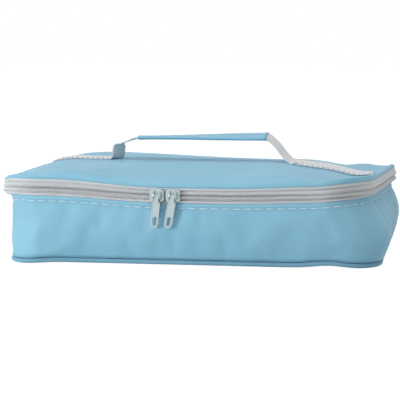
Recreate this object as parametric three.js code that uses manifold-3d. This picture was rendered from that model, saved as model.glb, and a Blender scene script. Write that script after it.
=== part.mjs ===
// An insulated lunch bag: a soft rectangular tub, a padded lid on a fabric hinge, a coil zip with two
// sliders round the front, sides and corners, and a webbing handle with a fabric grip.
// Millimetres, +Z up. The origin is the middle of the bottom face, and the sliders face -Y.
import * as THREE from "three";
import { mergeVertices } from "three/addons/utils/BufferGeometryUtils.js";
import Module from "manifold-3d";

const wasm = await Module();
wasm.setup();

// Overall form. The plan is a rounded rectangle, and an offset is a distance inwards from it.
const bagWidth = 300;
const bagDepth = 200;
const cornerRadius = 36;
const arcSteps = 8;
const zipHeight = 54.5;

// Layers, from the outside in, and the gap between neighbours
const fabric = 1.0;
const foam = 4.0;
const liner = 0.6;
const binding = 0.6;
const clearance = 0.3;
const levelSlack = 0.01;

// Base: the welt is the bound seam round the bottom, and the walls draw in towards it
const weltHeight = 4.2;
const weltDepth = 6.0;
const weltChamfer = 1.0;
const weltLift = 0.2;
const weltProud = 0.6;
const baseDraw = 7.5;
const drawHeight = 42;
const drawSteps = 2;

// Lid: an upright lip, then a crown that rises until it is crownReach in from the edge. Beyond that reach
// the right end has settled, and from settleEnd outwards it keeps only 1 - lidSettle of its rise.
const lidLip = 2.6;
const lidRise = 9.5;
const crownReach = 70;
const crownSteps = 6;
const crownFullness = 0.625;
const crownCorner = 8;
const lidSettle = 0.75;
const settleEnd = 20;
const paddingStart = 3;
const lidBindingDepth = 3.5;
const lidBindingHeight = 1.8;

// Zip: two tapes with a gap under the teeth, and a coil half on the outer face of each. The tapes lap
// behind the base panel and the lid, and their edges stand back from the sliders' wedges.
const tapeThickness = 0.8;
const tapeLapBase = 5;
const tapeLapLid = 2.1;
const tapeSetback = 0.85;
const coilThickness = 2.0;
const coilHalfWidth = 2.8;
const toothPitch = 2.8;
const toothReach = 0.3;
const toothGap = 0.4;

// Sliders: they meet nose to nose at sliderMeet, left of the middle of the front. Their wedges part the
// chain, which begins to close partingLead before the shoulders and is shut partingTail inside the tails.
const sliderMeet = -13.1;
const sliderSpace = 1.2;
const sliderLength = 11;
const sliderMargin = 0.9;
const shoulderBack = 5.0;
const partingLead = 1.2;
const partingTail = 2.0;
const plateThickness = 1.2;
const backPlateThickness = 0.9;
const flangeThickness = 0.85;
const wedgeThickness = 1.1;
const wedgeNose = 0.7;
const wedgeLength = 4.5;
const capRadius = 4.3;
const capWall = 0.8;
const capFullness = 0.7;
const slotRelief = 0.05;
const boreFloor = 0.1;
const capSides = 20;
const capSteps = 4;

// Pulls: a flat tab on a cross pin that turns in the slider's cap. The tab leans left by pullLean degrees.
const pinRadius = 0.8;
const pinSeating = 1.5;
const pinSides = 12;
const pullLength = 24.5;
const pullWidth = 6.2;
const pullThickness = 1.5;
const pullLean = 2.5;
const neckWidth = 3.2;
const neckLength = 4.6;
const flareLength = 0.8;
const pullRim = 0.7;
const pullRecess = 0.25;
const holeWidth = 2.9;
const holeLength = 6.6;
const holeMargin = 1.8;

// Handle: webbing sewn to the lid, folded up at foldSpan, and held in the grip sleeve between its ends
const webbingWidth = 21;
const webbingThickness = 1.4;
const sewnEndTaper = 3;
const foldSpan = 151;
const gripLength = 107;
const gripShift = -1;
const gripRise = 19.5;
const gripWidth = 24;
const gripThickness = 4.2;
const strapSteps = 12;
const leftStrap = { side: -1, sewnMargin: 26, rise: 15, riseAngle: 78, arrive: 12, twist: -16 };
const rightStrap = { side: 1, sewnMargin: 12, rise: 10, riseAngle: 48, arrive: 10, twist: -4 };

// Sizes that follow from the zip: the chain's opening at the wedges, the sliders round it, and the band
// that they run in
const chainOpening = toothReach + wedgeThickness / 2 + clearance;
const tailHeight = 2 * (coilHalfWidth + clearance + flangeThickness);
const noseHeight = tailHeight + 2 * chainOpening;
const zipBand = noseHeight + 2 * sliderMargin;
const tapeGap = wedgeThickness + 2 * tapeSetback;
const pinLength = neckWidth + 2 * (clearance + pinSeating);
const holeDrop = pullLength - holeMargin - holeLength / 2;

// Offsets of the layers from the plan outline
const foamOut = fabric + clearance;
const foamIn = foamOut + foam;
const linerOut = foamIn + clearance;
const linerIn = linerOut + liner;
const tapeIn = foamOut + tapeThickness;
const bindingOut = tapeIn + clearance;
const bindingIn = linerIn + clearance;
const pinchedFoamOut = bindingOut + binding + clearance;

// Heights of the seams
const weltTop = weltLift + weltHeight;
const wallBottom = weltTop + clearance;
const panelTop = zipHeight - zipBand / 2;
const seamLow = panelTop - tapeLapBase;
const bindingTop = panelTop - clearance;
const foamTop = bindingTop - binding - clearance;
const lidEdge = zipHeight + zipBand / 2;
const lipTop = lidEdge + lidLip;
const crownHeight = lipTop + lidRise;
const tapeTop = lidEdge + tapeLapLid;
const gripHeight = crownHeight + gripRise;
const gripLeft = gripShift - gripLength / 2;
const gripRight = gripShift + gripLength / 2;

// Outlines round the bottom seam
const weltOut = baseDraw - weltProud;
const weltIn = weltOut + weltDepth;
const bottomOutline = weltIn + clearance;
const bottomFoamLow = fabric + clearance;
const linerFloor = bottomFoamLow + foam + clearance;

// Depths along the outward normal at the front: the coil straddles the plan outline
const coilBack = -fabric;
const coilFront = coilBack + coilThickness;
const plateBack = coilFront + clearance;
const plateFront = plateBack + plateThickness;
const backPlateFront = -tapeIn - clearance;
const backPlateBack = backPlateFront - backPlateThickness;
const boreRadius = pinRadius + clearance;
const slotFloor = plateFront - slotRelief;
const pinCentre = plateFront + boreFloor + boreRadius;
const capTop = pinCentre + boreRadius + capWall;

// Geometry from points and triangles, turned so that its faces point out
function closedGeometry(points, triangles) {
  const volume = triangles.reduce(
    (sum, [a, b, c]) => sum + points[a].dot(points[b].clone().cross(points[c])), 0);
  const index = triangles.flatMap(([a, b, c]) => (volume > 0 ? [a, b, c] : [a, c, b]));
  const geometry = new THREE.BufferGeometry().setFromPoints(points);
  geometry.setIndex(index);
  geometry.computeVertexNormals();
  return geometry;
}

// Joins rings of equal length. A looped loft closes on its first ring, and an open one is capped. A twisted
// quad is folded along its more level diagonal, so that nested layers fold alike.
function loft(rings, looped = false) {
  const count = rings[0].length;
  const points = rings.flat();
  const climb = (a, b) => Math.abs(points[a].z - points[b].z);
  const triangles = [];
  const spans = looped ? rings.length : rings.length - 1;
  for (let ring = 0; ring < spans; ring++) {
    const near = ring * count;
    const far = ((ring + 1) % rings.length) * count;
    for (let i = 0; i < count; i++) {
      const j = (i + 1) % count;
      if (climb(near + j, far + i) < climb(near + i, far + j) - levelSlack) {
        triangles.push([near + i, near + j, far + i], [near + j, far + j, far + i]);
      } else {
        triangles.push([near + i, near + j, far + j], [near + i, far + j, far + i]);
      }
    }
  }
  if (!looped) {
    const last = (rings.length - 1) * count;
    for (let i = 1; i < count - 1; i++) {
      triangles.push([0, i + 1, i], [last, last + i, last + i + 1]);
    }
  }
  return closedGeometry(points, triangles);
}

// Plan stations run from the rear left corner round the front to the rear right corner
const plan = [[-1, 1], [-1, -1], [1, -1], [1, 1]];
const stations = plan.flatMap(([sideX, sideY], corner) =>
  Array.from({ length: arcSteps + 1 }, (_, step) => {
    const angle = (Math.PI / 2) * (1 + corner + step / arcSteps);
    return { sideX, sideY, angle };
  }));

function planPoint({ sideX, sideY, angle }, offset, z) {
  const radius = Math.max(cornerRadius - offset, crownCorner);
  const x = sideX * (bagWidth / 2 - offset - radius) + radius * Math.cos(angle);
  const y = sideY * (bagDepth / 2 - offset - radius) + radius * Math.sin(angle);
  return new THREE.Vector3(x, y, z);
}

// A section of [offset, z] points taken right round the plan
function band(section) {
  const rings = stations.map((station) => section.map(([offset, z]) => planPoint(station, offset, z)));
  return loft(rings, true);
}

// The same section taken along the zip, which stops at the ends of the rear corners
function zipStrip(section) {
  return loft(stations.map((station) => section.map(([offset, z]) => planPoint(station, offset, z))));
}

// Whole outlines stacked up through [offset, z] levels, capped at both ends. A level of the lid also has
// its rise above the lip and its offset on the outer face, and sinks at the right end as that face does.
function stack(levels) {
  return loft(levels.map(([offset, z, rise = 0, outer = 0]) => stations.map((station) => {
    const drop = rise * settled(planPoint(station, outer, 0).x);
    return planPoint(station, offset, z - drop);
  })));
}

// The share of the lid's rise that is lost at a distance along the bag
function settled(x) {
  return lidSettle * (1 - THREE.MathUtils.smoothstep(bagWidth / 2 - x, settleEnd, crownReach));
}

function rectangle(offsetA, offsetB, low, high) {
  return [[offsetA, low], [offsetA, high], [offsetB, high], [offsetB, low]];
}

// How far the walls are drawn in at a height
function wallDraw(z) {
  const share = (drawHeight - Math.max(z, wallBottom)) / (drawHeight - wallBottom);
  return baseDraw * Math.max(share, 0) ** 2;
}

// One face of the wall from the welt up to a height
function wallFace(offset, top) {
  const face = [];
  for (let step = 0; step <= drawSteps; step++) {
    const z = wallBottom + ((drawHeight - wallBottom) * step) / drawSteps;
    face.push([offset + wallDraw(z), z]);
  }
  face.push([offset, top]);
  return face;
}

// The lid's outer profile, from the bottom of its lip to the crown
const lidProfile = [[0, lidEdge], [0, lipTop]];
for (let step = 1; step <= crownSteps; step++) {
  const share = (step / crownSteps) ** 2;
  lidProfile.push([crownReach * share, lipTop + lidRise * (1 - (1 - share) ** 2) ** crownFullness]);
}

// The lid's profile moved in by a depth, square to its slope
function lidCurve(depth, from = 0) {
  const inward = ([offsetA, zA], [offsetB, zB]) =>
    new THREE.Vector2(zB - zA, offsetA - offsetB).normalize();
  const last = lidProfile.length - 1;
  const curve = lidProfile.map((point, i) => {
    const before = i > 0 ? inward(lidProfile[i - 1], point) : inward(point, lidProfile[1]);
    const after = i < last ? inward(point, lidProfile[i + 1]) : new THREE.Vector2(0, -1);
    const square = i < last ? before.clone().add(after).divideScalar(1 + before.dot(after)) : after;
    const rise = Math.max(point[1] - lipTop, 0);
    return [point[0] + depth * square.x, point[1] + depth * square.y, rise, point[0]];
  });
  return curve.slice(from);
}

function lidLayer(outer, inner, from) {
  return stack([...lidCurve(inner, from).reverse(), ...lidCurve(outer, from)]);
}

// Height of the lid's top on the line of the handle
function lidTop(x) {
  const offset = bagWidth / 2 - Math.abs(x);
  const next = lidProfile.findIndex(([reach]) => reach >= offset);
  if (next < 1) {
    return crownHeight;
  }
  const [[offsetA, zA], [offsetB, zB]] = lidProfile.slice(next - 1, next + 1).map(([reach, z]) => {
    const ringX = Math.sign(x) * (bagWidth / 2 - reach);
    return [reach, z - Math.max(z - lipTop, 0) * settled(ringX)];
  });
  return THREE.MathUtils.mapLinear(offset, offsetA, offsetB, zA, zB);
}

// Solids to be joined or cut, and back
function toSolid(geometry) {
  const bare = geometry.clone();
  bare.deleteAttribute("normal");
  bare.deleteAttribute("uv");
  const merged = mergeVertices(bare, 1e-4);
  const corners = Array.from(merged.index.array);
  const kept = [];
  for (let i = 0; i < corners.length; i += 3) {
    const [a, b, c] = corners.slice(i, i + 3);
    if (a !== b && b !== c && c !== a) {
      kept.push(a, b, c);
    }
  }
  const vertProperties = merged.attributes.position.array;
  return new wasm.Manifold(new wasm.Mesh({ numProp: 3, vertProperties, triVerts: Uint32Array.from(kept) }));
}

function toGeometry(solid) {
  const mesh = solid.getMesh();
  const geometry = new THREE.BufferGeometry();
  geometry.setAttribute("position", new THREE.BufferAttribute(mesh.vertProperties, 3));
  geometry.setIndex(new THREE.BufferAttribute(mesh.triVerts, 1));
  geometry.computeVertexNormals();
  return geometry;
}

// A flat shape drawn as seen from the front, between two depths along the outward normal, and turned by
// lean degrees about it
function frontPlate(shape, back, front, lean = 0) {
  const depth = front - back;
  const geometry = new THREE.ExtrudeGeometry(shape, { depth, bevelEnabled: false, curveSegments: 4 });
  geometry.rotateX(Math.PI / 2);
  geometry.rotateY(THREE.MathUtils.degToRad(lean));
  geometry.translate(0, -back, 0);
  return toSolid(geometry);
}

function polygon(points) {
  return new THREE.Shape(points.map(([x, y]) => new THREE.Vector2(x, y)));
}

// A cylinder along X at a depth along the outward normal
function crossCylinder(radius, length, depth) {
  const geometry = new THREE.CylinderGeometry(radius, radius, length, pinSides);
  geometry.rotateZ(Math.PI / 2);
  geometry.translate(0, -depth, 0);
  return toSolid(geometry);
}

// Finishes
const finish = (color, roughness, metalness = 0) =>
  new THREE.MeshStandardMaterial({ color, roughness, metalness });
const shellFabric = finish(0x95c5dc, 0.6);
const bindingTape = finish(0x86b6cc, 0.8);
const foamSheet = finish(0xe6e8ea, 0.9);
const foilLiner = finish(0xc9ced3, 0.35, 0.6);
const zipTape = finish(0xbfc6cc, 0.85);
const zipCoil = finish(0xb6bbc0, 0.5);
const webbing = finish(0xdfe5ee, 0.85);
const zincCasting = finish(0xc6cbcd, 0.35, 0.9);

const bag = new THREE.Group();
bag.name = "insulated_lunch_bag";

function add(name, geometry, material, parent = bag) {
  const mesh = new THREE.Mesh(geometry, material);
  mesh.name = name;
  parent.add(mesh);
}

// Base: bottom, welt, wall layers and the binding over their top edge
function addBase() {
  add("base_bottom_panel", stack([[bottomOutline, 0], [bottomOutline, fabric]]), shellFabric);
  const bottomFoamTop = bottomFoamLow + foam;
  add("bottom_foam", stack([[bottomOutline, bottomFoamLow], [bottomOutline, bottomFoamTop]]), foamSheet);
  add("bottom_welt", band([
    [weltOut, weltLift + weltChamfer], [weltOut, weltTop - weltChamfer],
    [weltOut + weltChamfer, weltTop], [weltIn - weltChamfer, weltTop],
    [weltIn, weltTop - weltChamfer], [weltIn, weltLift + weltChamfer],
    [weltIn - weltChamfer, weltLift], [weltOut + weltChamfer, weltLift],
  ]), shellFabric);
  add("base_side_panel", band([
    ...wallFace(0, panelTop), ...wallFace(fabric, panelTop).reverse(),
  ]), shellFabric);
  const step = seamLow - clearance;
  add("side_foam", band([
    ...wallFace(foamOut, step), [pinchedFoamOut, step], [pinchedFoamOut, foamTop],
    ...wallFace(foamIn, foamTop).reverse(),
  ]), foamSheet);
  add("base_liner", stack([
    [linerOut + baseDraw, linerFloor], ...wallFace(linerOut, foamTop),
    ...wallFace(linerIn, foamTop).reverse().slice(0, -1), [linerIn + baseDraw, linerFloor + liner],
  ]), foilLiner);
  const bindingUnder = bindingTop - binding;
  add("base_seam_binding", band([
    [bindingOut, seamLow], [bindingOut, bindingTop],
    [bindingIn + binding, bindingTop], [bindingIn + binding, seamLow],
    [bindingIn, seamLow], [bindingIn, bindingUnder],
    [bindingOut + binding, bindingUnder], [bindingOut + binding, seamLow],
  ]), bindingTape);
}

// Lid: fabric, foam and liner as nested domes, and the bound seam inside the lip
function addLid() {
  add("lid_top_panel", lidLayer(0, fabric), shellFabric);
  add("lid_foam", lidLayer(foamOut, foamIn, paddingStart), foamSheet);
  add("lid_liner", lidLayer(linerOut, linerIn, paddingStart), foilLiner);
  add("lid_seam_binding", band(rectangle(
    bindingOut, bindingOut + lidBindingDepth, lidEdge, lidEdge + lidBindingHeight)), bindingTape);
}

// Hinge: a strip of the shell fabric behind both seams, along the straight of the rear
function addHinge() {
  const length = bagWidth - 2 * cornerRadius - 2 * clearance;
  const strip = new THREE.BoxGeometry(length, tapeThickness, tapeTop - seamLow);
  strip.translate(0, bagDepth / 2 - (foamOut + tapeIn) / 2, (seamLow + tapeTop) / 2);
  add("rear_hinge_strip", strip, shellFabric);
}

// Position along the zip, at an offset from the plan outline
const sideLength = bagDepth - 2 * cornerRadius;
const frontLength = bagWidth - 2 * cornerRadius;
const cornerLength = (cornerRadius * Math.PI) / 2;
const zipLength = 4 * cornerLength + 2 * sideLength + frontLength;
const straights = [sideLength, frontLength, sideLength];

function zipPoint(distance, offset, z) {
  let corner = 0;
  let left = distance;
  while (corner < straights.length && left > cornerLength + straights[corner]) {
    left -= cornerLength + straights[corner];
    corner += 1;
  }
  const [sideX, sideY] = plan[corner];
  const turn = Math.min(left / cornerLength, 1);
  const point = planPoint({ sideX, sideY, angle: (Math.PI / 2) * (1 + corner + turn) }, offset, z);
  const along = Math.max(left - cornerLength, 0);
  const heading = (Math.PI / 2) * (2 + corner + 1);
  point.x += along * Math.cos(heading);
  point.y += along * Math.sin(heading);
  return point;
}

// How far each chain half stands off the middle line: the sliders' wedges part it where they meet
function chainParting(distance) {
  const { x, y } = zipPoint(distance, 0, 0);
  if (y > -bagDepth / 2 + clearance) {
    return 0;
  }
  const open = sliderSpace / 2 + shoulderBack - partingLead;
  const shut = sliderSpace / 2 + sliderLength - partingTail;
  return chainOpening * (1 - THREE.MathUtils.smoothstep(Math.abs(x - sliderMeet), open, shut));
}

// One chain half: a bead along the tape with teeth that mesh with the other half's. The outer edge has
// a point for every two teeth.
function chainHalf(side) {
  const cells = Math.round(zipLength / toothPitch / 2);
  const halfStep = zipLength / cells / 4;
  const toothRoot = toothReach + toothGap;
  const points = [];
  const triangles = [];
  const cellTips = [];
  const addPair = (distance, height) => {
    const z = zipHeight + side * (height + chainParting(distance));
    points.push(zipPoint(distance, -coilFront, z), zipPoint(distance, -coilBack, z));
    return points.length - 2;
  };
  const addWall = (a, b) => triangles.push([a, b, b + 1], [a, b + 1, a + 1]);
  const addFaces = (a, b, c) => triangles.push([a, c, b], [a + 1, b + 1, c + 1]);
  for (let i = 0; i <= cells * 4; i++) {
    const isTip = (i + (side > 0 ? 0 : 1)) % 2 === 0;
    cellTips.push(addPair(i * halfStep, isTip ? -toothReach : toothRoot));
  }
  const edge = Array.from({ length: cells + 1 }, (_, i) => addPair(i * 4 * halfStep, coilHalfWidth));
  for (let i = 0; i < cells * 4; i++) {
    addWall(cellTips[i], cellTips[i + 1]);
  }
  for (let cell = 0; cell < cells; cell++) {
    const tips = cellTips.slice(cell * 4, cell * 4 + 5);
    addFaces(edge[cell], tips[0], tips[1]);
    addFaces(edge[cell], tips[1], tips[2]);
    addFaces(edge[cell], tips[2], edge[cell + 1]);
    addFaces(edge[cell + 1], tips[2], tips[3]);
    addFaces(edge[cell + 1], tips[3], tips[4]);
    addWall(edge[cell + 1], edge[cell]);
  }
  addWall(edge[0], cellTips[0]);
  addWall(cellTips[cells * 4], edge[cells]);
  return closedGeometry(points, triangles);
}

function addZip() {
  const halfGap = tapeGap / 2;
  add("lower_zip_tape", zipStrip(rectangle(foamOut, tapeIn, seamLow, zipHeight - halfGap)), zipTape);
  add("upper_zip_tape", zipStrip(rectangle(foamOut, tapeIn, zipHeight + halfGap, tapeTop)), zipTape);
  add("lower_zip_coil", chainHalf(-1), zipCoil);
  add("upper_zip_coil", chainHalf(1), zipCoil);
}

// Slider casting with its nose towards +X: two plates, flanges that hold the chain, the wedge that parts
// it, and a domed cap with a slot and a bore for the pull
function sliderCasting() {
  const end = sliderLength / 2;
  const shoulder = end - shoulderBack;
  const nose = noseHeight / 2;
  const tail = tailHeight / 2;
  const outline = new THREE.Shape();
  outline.moveTo(-end, -tail);
  outline.lineTo(shoulder, -nose);
  outline.quadraticCurveTo(end, -nose, end, -nose / 3);
  outline.lineTo(end, nose / 3);
  outline.quadraticCurveTo(end, nose, shoulder, nose);
  outline.lineTo(-end, tail);
  const overlap = plateThickness / 2;
  let casting = frontPlate(outline, plateBack, plateFront)
    .add(frontPlate(outline, backPlateBack, backPlateFront));
  for (const side of [-1, 1]) {
    const flange = polygon([
      [-end, side * tail], [shoulder, side * nose],
      [shoulder, side * (nose - flangeThickness)], [-end, side * (tail - flangeThickness)],
    ]);
    casting = casting.add(frontPlate(flange, coilBack, plateBack + overlap));
  }
  const wedge = polygon([
    [shoulder, 0], [shoulder + wedgeLength / 2, -wedgeThickness / 2],
    [shoulder + wedgeLength, -wedgeNose / 2], [shoulder + wedgeLength, wedgeNose / 2],
    [shoulder + wedgeLength / 2, wedgeThickness / 2],
  ]);
  casting = casting.add(frontPlate(wedge, backPlateFront - backPlateThickness / 2, plateBack + overlap));
  const capBase = plateFront - overlap;
  const profile = [new THREE.Vector2(0, capBase), new THREE.Vector2(capRadius, capBase)];
  for (let step = 0; step <= capSteps; step++) {
    const angle = ((Math.PI / 2) * step) / capSteps;
    const height = plateFront + (capTop - plateFront) * Math.sin(angle);
    profile.push(new THREE.Vector2(step < capSteps ? capRadius * Math.cos(angle) ** capFullness : 0, height));
  }
  const dome = new THREE.LatheGeometry(profile, capSides);
  dome.rotateX(Math.PI);
  const slot = new THREE.BoxGeometry(neckWidth + 2 * clearance, capTop - slotFloor + 1, noseHeight);
  slot.translate(0, -(capTop + 1 + slotFloor) / 2, 0);
  const bore = crossCylinder(boreRadius, 2 * sliderLength, pinCentre);
  return casting.add(toSolid(dome)).subtract(toSolid(slot)).subtract(bore);
}

// Pull outline drawn in from its edge by a rim, with the cross pin at the origin
function pullOutline(rim, top) {
  const radius = pullWidth / 2 - rim;
  const neck = neckWidth / 2 - rim / 2;
  const bottom = -(pullLength - pullWidth / 2);
  const outline = new THREE.Shape();
  outline.moveTo(-neck, top);
  outline.lineTo(-neck, -neckLength);
  outline.lineTo(-radius, -neckLength - flareLength);
  outline.lineTo(-radius, bottom);
  outline.absarc(0, bottom, radius, Math.PI, 2 * Math.PI);
  outline.lineTo(radius, -neckLength - flareLength);
  outline.lineTo(neck, -neckLength);
  outline.lineTo(neck, top);
  return outline;
}

function holeOutline(rim) {
  const radius = holeWidth / 2 + rim;
  const straight = (holeLength - holeWidth) / 2;
  const outline = new THREE.Shape();
  outline.absarc(0, -holeDrop + straight, radius, 0, Math.PI);
  outline.absarc(0, -holeDrop - straight, radius, Math.PI, 2 * Math.PI);
  return outline;
}

function pullCasting() {
  const half = pullThickness / 2;
  const pocket = pullOutline(pullRim, -neckLength - pullRim);
  pocket.holes.push(holeOutline(pullRim));
  const front = pinCentre + half;
  const back = pinCentre - half;
  return frontPlate(pullOutline(0, pinRadius / 2), back, front, pullLean)
    .subtract(frontPlate(pocket, front - pullRecess, front + clearance, pullLean))
    .subtract(frontPlate(pocket, back - clearance, back + pullRecess, pullLean))
    .subtract(frontPlate(holeOutline(0), back - clearance, front + clearance, pullLean))
    .add(crossCylinder(pinRadius, pinLength, pinCentre));
}

function addSlider(name, side) {
  const slider = new THREE.Group();
  slider.position.set(sliderMeet + (side * (sliderSpace + sliderLength)) / 2, -bagDepth / 2, zipHeight);
  bag.add(slider);
  const casting = toGeometry(sliderCasting());
  if (side > 0) {
    casting.rotateY(Math.PI);
  }
  add(`${name}_slider_body`, casting, zincCasting, slider);
  add(`${name}_pull_tab`, toGeometry(pullCasting()), zincCasting, slider);
}

// Webbing sewn along the lid, from its tapered end by the zip to the fold
function sewnStrap({ side, sewnMargin }) {
  const sewnEnd = bagWidth / 2 - sewnMargin;
  const fold = foldSpan / 2;
  const stops = [[sewnEnd, webbingWidth - 2 * sewnEndTaper], [sewnEnd - sewnEndTaper, webbingWidth]];
  for (const [reach] of lidProfile) {
    const x = bagWidth / 2 - reach;
    if (x > fold && x < sewnEnd - sewnEndTaper) {
      stops.push([x, webbingWidth]);
    }
  }
  stops.push([fold, webbingWidth]);
  return loft(stops.map(([x, width]) => {
    const low = lidTop(side * x) + clearance;
    const high = low + webbingThickness;
    return [[-1, low], [1, low], [1, high], [-1, high]].map(
      ([edge, z]) => new THREE.Vector3(side * x, (edge * width) / 2, z));
  }));
}

// Webbing that rises freely from the fold to the end of the grip, turning a little on the way
function freeStrap({ side, rise, riseAngle, arrive, twist }) {
  const radians = THREE.MathUtils.degToRad;
  const foldGap = clearance + webbingThickness / 2;
  const gripEnd = side < 0 ? gripLeft : gripRight;
  const start = new THREE.Vector3(side * (foldSpan / 2 - foldGap), 0, crownHeight + foldGap);
  const finishAt = new THREE.Vector3(gripEnd + side * clearance, 0, gripHeight);
  const climb = new THREE.Vector3(-side * Math.cos(radians(riseAngle)), 0, Math.sin(radians(riseAngle)));
  const approach = new THREE.Vector3(side * arrive, 0, 0);
  const route = new THREE.CubicBezierCurve3(
    start, start.clone().addScaledVector(climb, rise), finishAt.clone().add(approach), finishAt);
  const rings = [];
  for (let step = 0; step <= strapSteps; step++) {
    const share = step / strapSteps;
    const centre = route.getPoint(share);
    const tangent = route.getTangent(share);
    const turn = radians(twist) * Math.sin(Math.PI * share);
    const across = new THREE.Vector3(0, 1, 0).applyAxisAngle(tangent, turn).multiplyScalar(webbingWidth / 2);
    const through = tangent.clone().cross(across).setLength(webbingThickness / 2);
    rings.push([[-1, -1], [1, -1], [1, 1], [-1, 1]].map(
      ([a, b]) => centre.clone().addScaledVector(across, a).addScaledVector(through, b)));
  }
  return loft(rings);
}

// A flat band with rounded edges, seen along X
function flatBand(path, width, thickness) {
  const radius = thickness / 2;
  const straight = width / 2 - radius;
  path.absarc(straight, 0, radius, -Math.PI / 2, Math.PI / 2);
  path.absarc(-straight, 0, radius, Math.PI / 2, (3 * Math.PI) / 2);
  return path;
}

function gripSleeve() {
  const section = flatBand(new THREE.Shape(), gripWidth, gripThickness);
  const bore = webbingThickness + 2 * clearance;
  section.holes.push(flatBand(new THREE.Path(), webbingWidth + bore, bore));
  const depth = gripRight - gripLeft;
  const sleeve = new THREE.ExtrudeGeometry(section, { depth, bevelEnabled: false, curveSegments: 6 });
  sleeve.rotateX(Math.PI / 2);
  sleeve.rotateZ(Math.PI / 2);
  sleeve.translate(gripLeft, 0, gripHeight);
  return sleeve;
}

function addHandle() {
  add("left_strap_sewn", sewnStrap(leftStrap), webbing);
  add("right_strap_sewn", sewnStrap(rightStrap), webbing);
  add("left_strap_free", freeStrap(leftStrap), webbing);
  add("right_strap_free", freeStrap(rightStrap), webbing);
  const core = new THREE.BoxGeometry(gripRight - gripLeft, webbingWidth, webbingThickness);
  core.translate((gripLeft + gripRight) / 2, 0, gripHeight);
  add("grip_webbing", core, webbing);
  add("grip_sleeve", gripSleeve(), shellFabric);
}

addBase();
addLid();
addHinge();
addZip();
addSlider("left", -1);
addSlider("right", 1);
addHandle();

export default bag;
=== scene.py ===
"""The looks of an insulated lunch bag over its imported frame. Metres, +Z up, and the front faces -Y."""

import math

import bmesh
import bpy
import numpy as np
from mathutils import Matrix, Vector
from mathutils.bvhtree import BVHTree
from mathutils.geometry import delaunay_2d_cdt


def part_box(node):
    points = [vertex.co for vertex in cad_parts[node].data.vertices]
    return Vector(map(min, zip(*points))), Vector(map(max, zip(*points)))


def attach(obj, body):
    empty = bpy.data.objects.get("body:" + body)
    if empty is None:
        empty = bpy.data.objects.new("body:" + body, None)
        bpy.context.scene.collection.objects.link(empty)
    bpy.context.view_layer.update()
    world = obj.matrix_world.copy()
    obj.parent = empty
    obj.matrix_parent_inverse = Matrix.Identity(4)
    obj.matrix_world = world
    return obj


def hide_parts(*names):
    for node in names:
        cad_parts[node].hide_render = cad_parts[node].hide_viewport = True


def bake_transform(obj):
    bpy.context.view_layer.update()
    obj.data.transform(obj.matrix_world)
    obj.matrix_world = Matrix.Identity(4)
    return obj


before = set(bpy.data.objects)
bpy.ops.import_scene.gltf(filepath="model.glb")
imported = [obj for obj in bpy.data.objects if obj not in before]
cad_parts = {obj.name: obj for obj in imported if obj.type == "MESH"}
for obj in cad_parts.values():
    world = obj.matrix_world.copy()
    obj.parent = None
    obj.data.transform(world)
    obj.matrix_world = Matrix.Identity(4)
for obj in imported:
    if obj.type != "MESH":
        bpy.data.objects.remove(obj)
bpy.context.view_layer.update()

MM = 0.001

# Sizes taken from the frame
panel_low, panel_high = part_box("base_side_panel")
HALF_WIDTH = panel_high.x
HALF_DEPTH = panel_high.y
WALL_BOTTOM = panel_low.z
PANEL_TOP = panel_high.z
LID_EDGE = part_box("lid_top_panel")[0].z
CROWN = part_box("lid_top_panel")[1].z
TAPE_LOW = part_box("lower_zip_tape")[0].z
TAPE_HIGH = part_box("upper_zip_tape")[1].z
ZIP_HEIGHT = (PANEL_TOP + LID_EDGE) / 2
GRIP_LOW, GRIP_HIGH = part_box("grip_webbing")
STRAP_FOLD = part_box("right_strap_sewn")[0].x
STRAP_ENDS = {-1: -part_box("left_strap_sewn")[0].x, 1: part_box("right_strap_sewn")[1].x}

# Sizes of the bag's own layers, as in the frame
CORNER = 36 * MM
WALL_DRAW = 7.5 * MM
DRAW_HEIGHT = 42 * MM
LIP = 2.6 * MM
LIP_TOP = LID_EDGE + LIP
LID_RISE = CROWN - LIP_TOP
CROWN_REACH = 70 * MM
CROWN_FULLNESS = 0.625
LID_SETTLE = 0.75
SETTLE_END = 20 * MM
FOAM_OUT = 1.3 * MM
FOAM_IN = 5.3 * MM
LINER_OUT = 5.6 * MM
LINER_FLOOR = 5.6 * MM
WEBBING_WIDTH = 21 * MM
WEBBING_THICKNESS = 1.4 * MM
GRIP_WIDTH = 24 * MM

# Thin sheets, a little thinner than in the frame
CLOTH_THICKNESS = 0.9 * MM
BOTTOM_THICKNESS = 0.8 * MM
FILM_THICKNESS = 0.35 * MM
SLEEVE_HOLLOW = [0.93, 0.62]  # share of the grip sleeve's width and thickness that its webbing fills

# Sizes of the hem at the top of the side panel
STITCH_HEIGHT = PANEL_TOP - 3.6 * MM
HEM_RISE = 0.55 * MM
SEAM_DIP = 0.4 * MM
PUCKER = 0.17 * MM
PUCKER_PITCH = 27 * MM

# Sizes of the zip
TAPE_LAP = 1.3 * MM
TAPE_THICKNESS = 0.75 * MM
TAPE_SETBACK = 0.95 * MM
PUFF_END = 6.3 * MM  # from the middle of the zip, where the tape meets the seam
LOWER_FORM = (3.4 * MM, 1.8 * MM, 1.6 * MM)  # place and depth of the dip by the chain, height of the puff
UPPER_FORM = (3.1 * MM, 0.7 * MM, 1.2 * MM)
COIL_HALF_WIDTH = 2.8 * MM
COIL_PITCH = 1.0 * MM
COIL_RADIUS = 0.42 * MM
COIL_DEPTH = 1.2 * MM
HEAD_DIP = 1.8 * MM  # of the loops' heads behind the face of the coil, where the halves mesh
SLIDER_MEET = -13.1 * MM
CHAIN_OPENING = 1.4 * MM
NECK_DROP = 3.4 * MM  # from the pin down to where a pull is free of its slider
EDGE_BREAK = 0.14 * MM
SHARP_ANGLE = math.radians(35)

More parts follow.
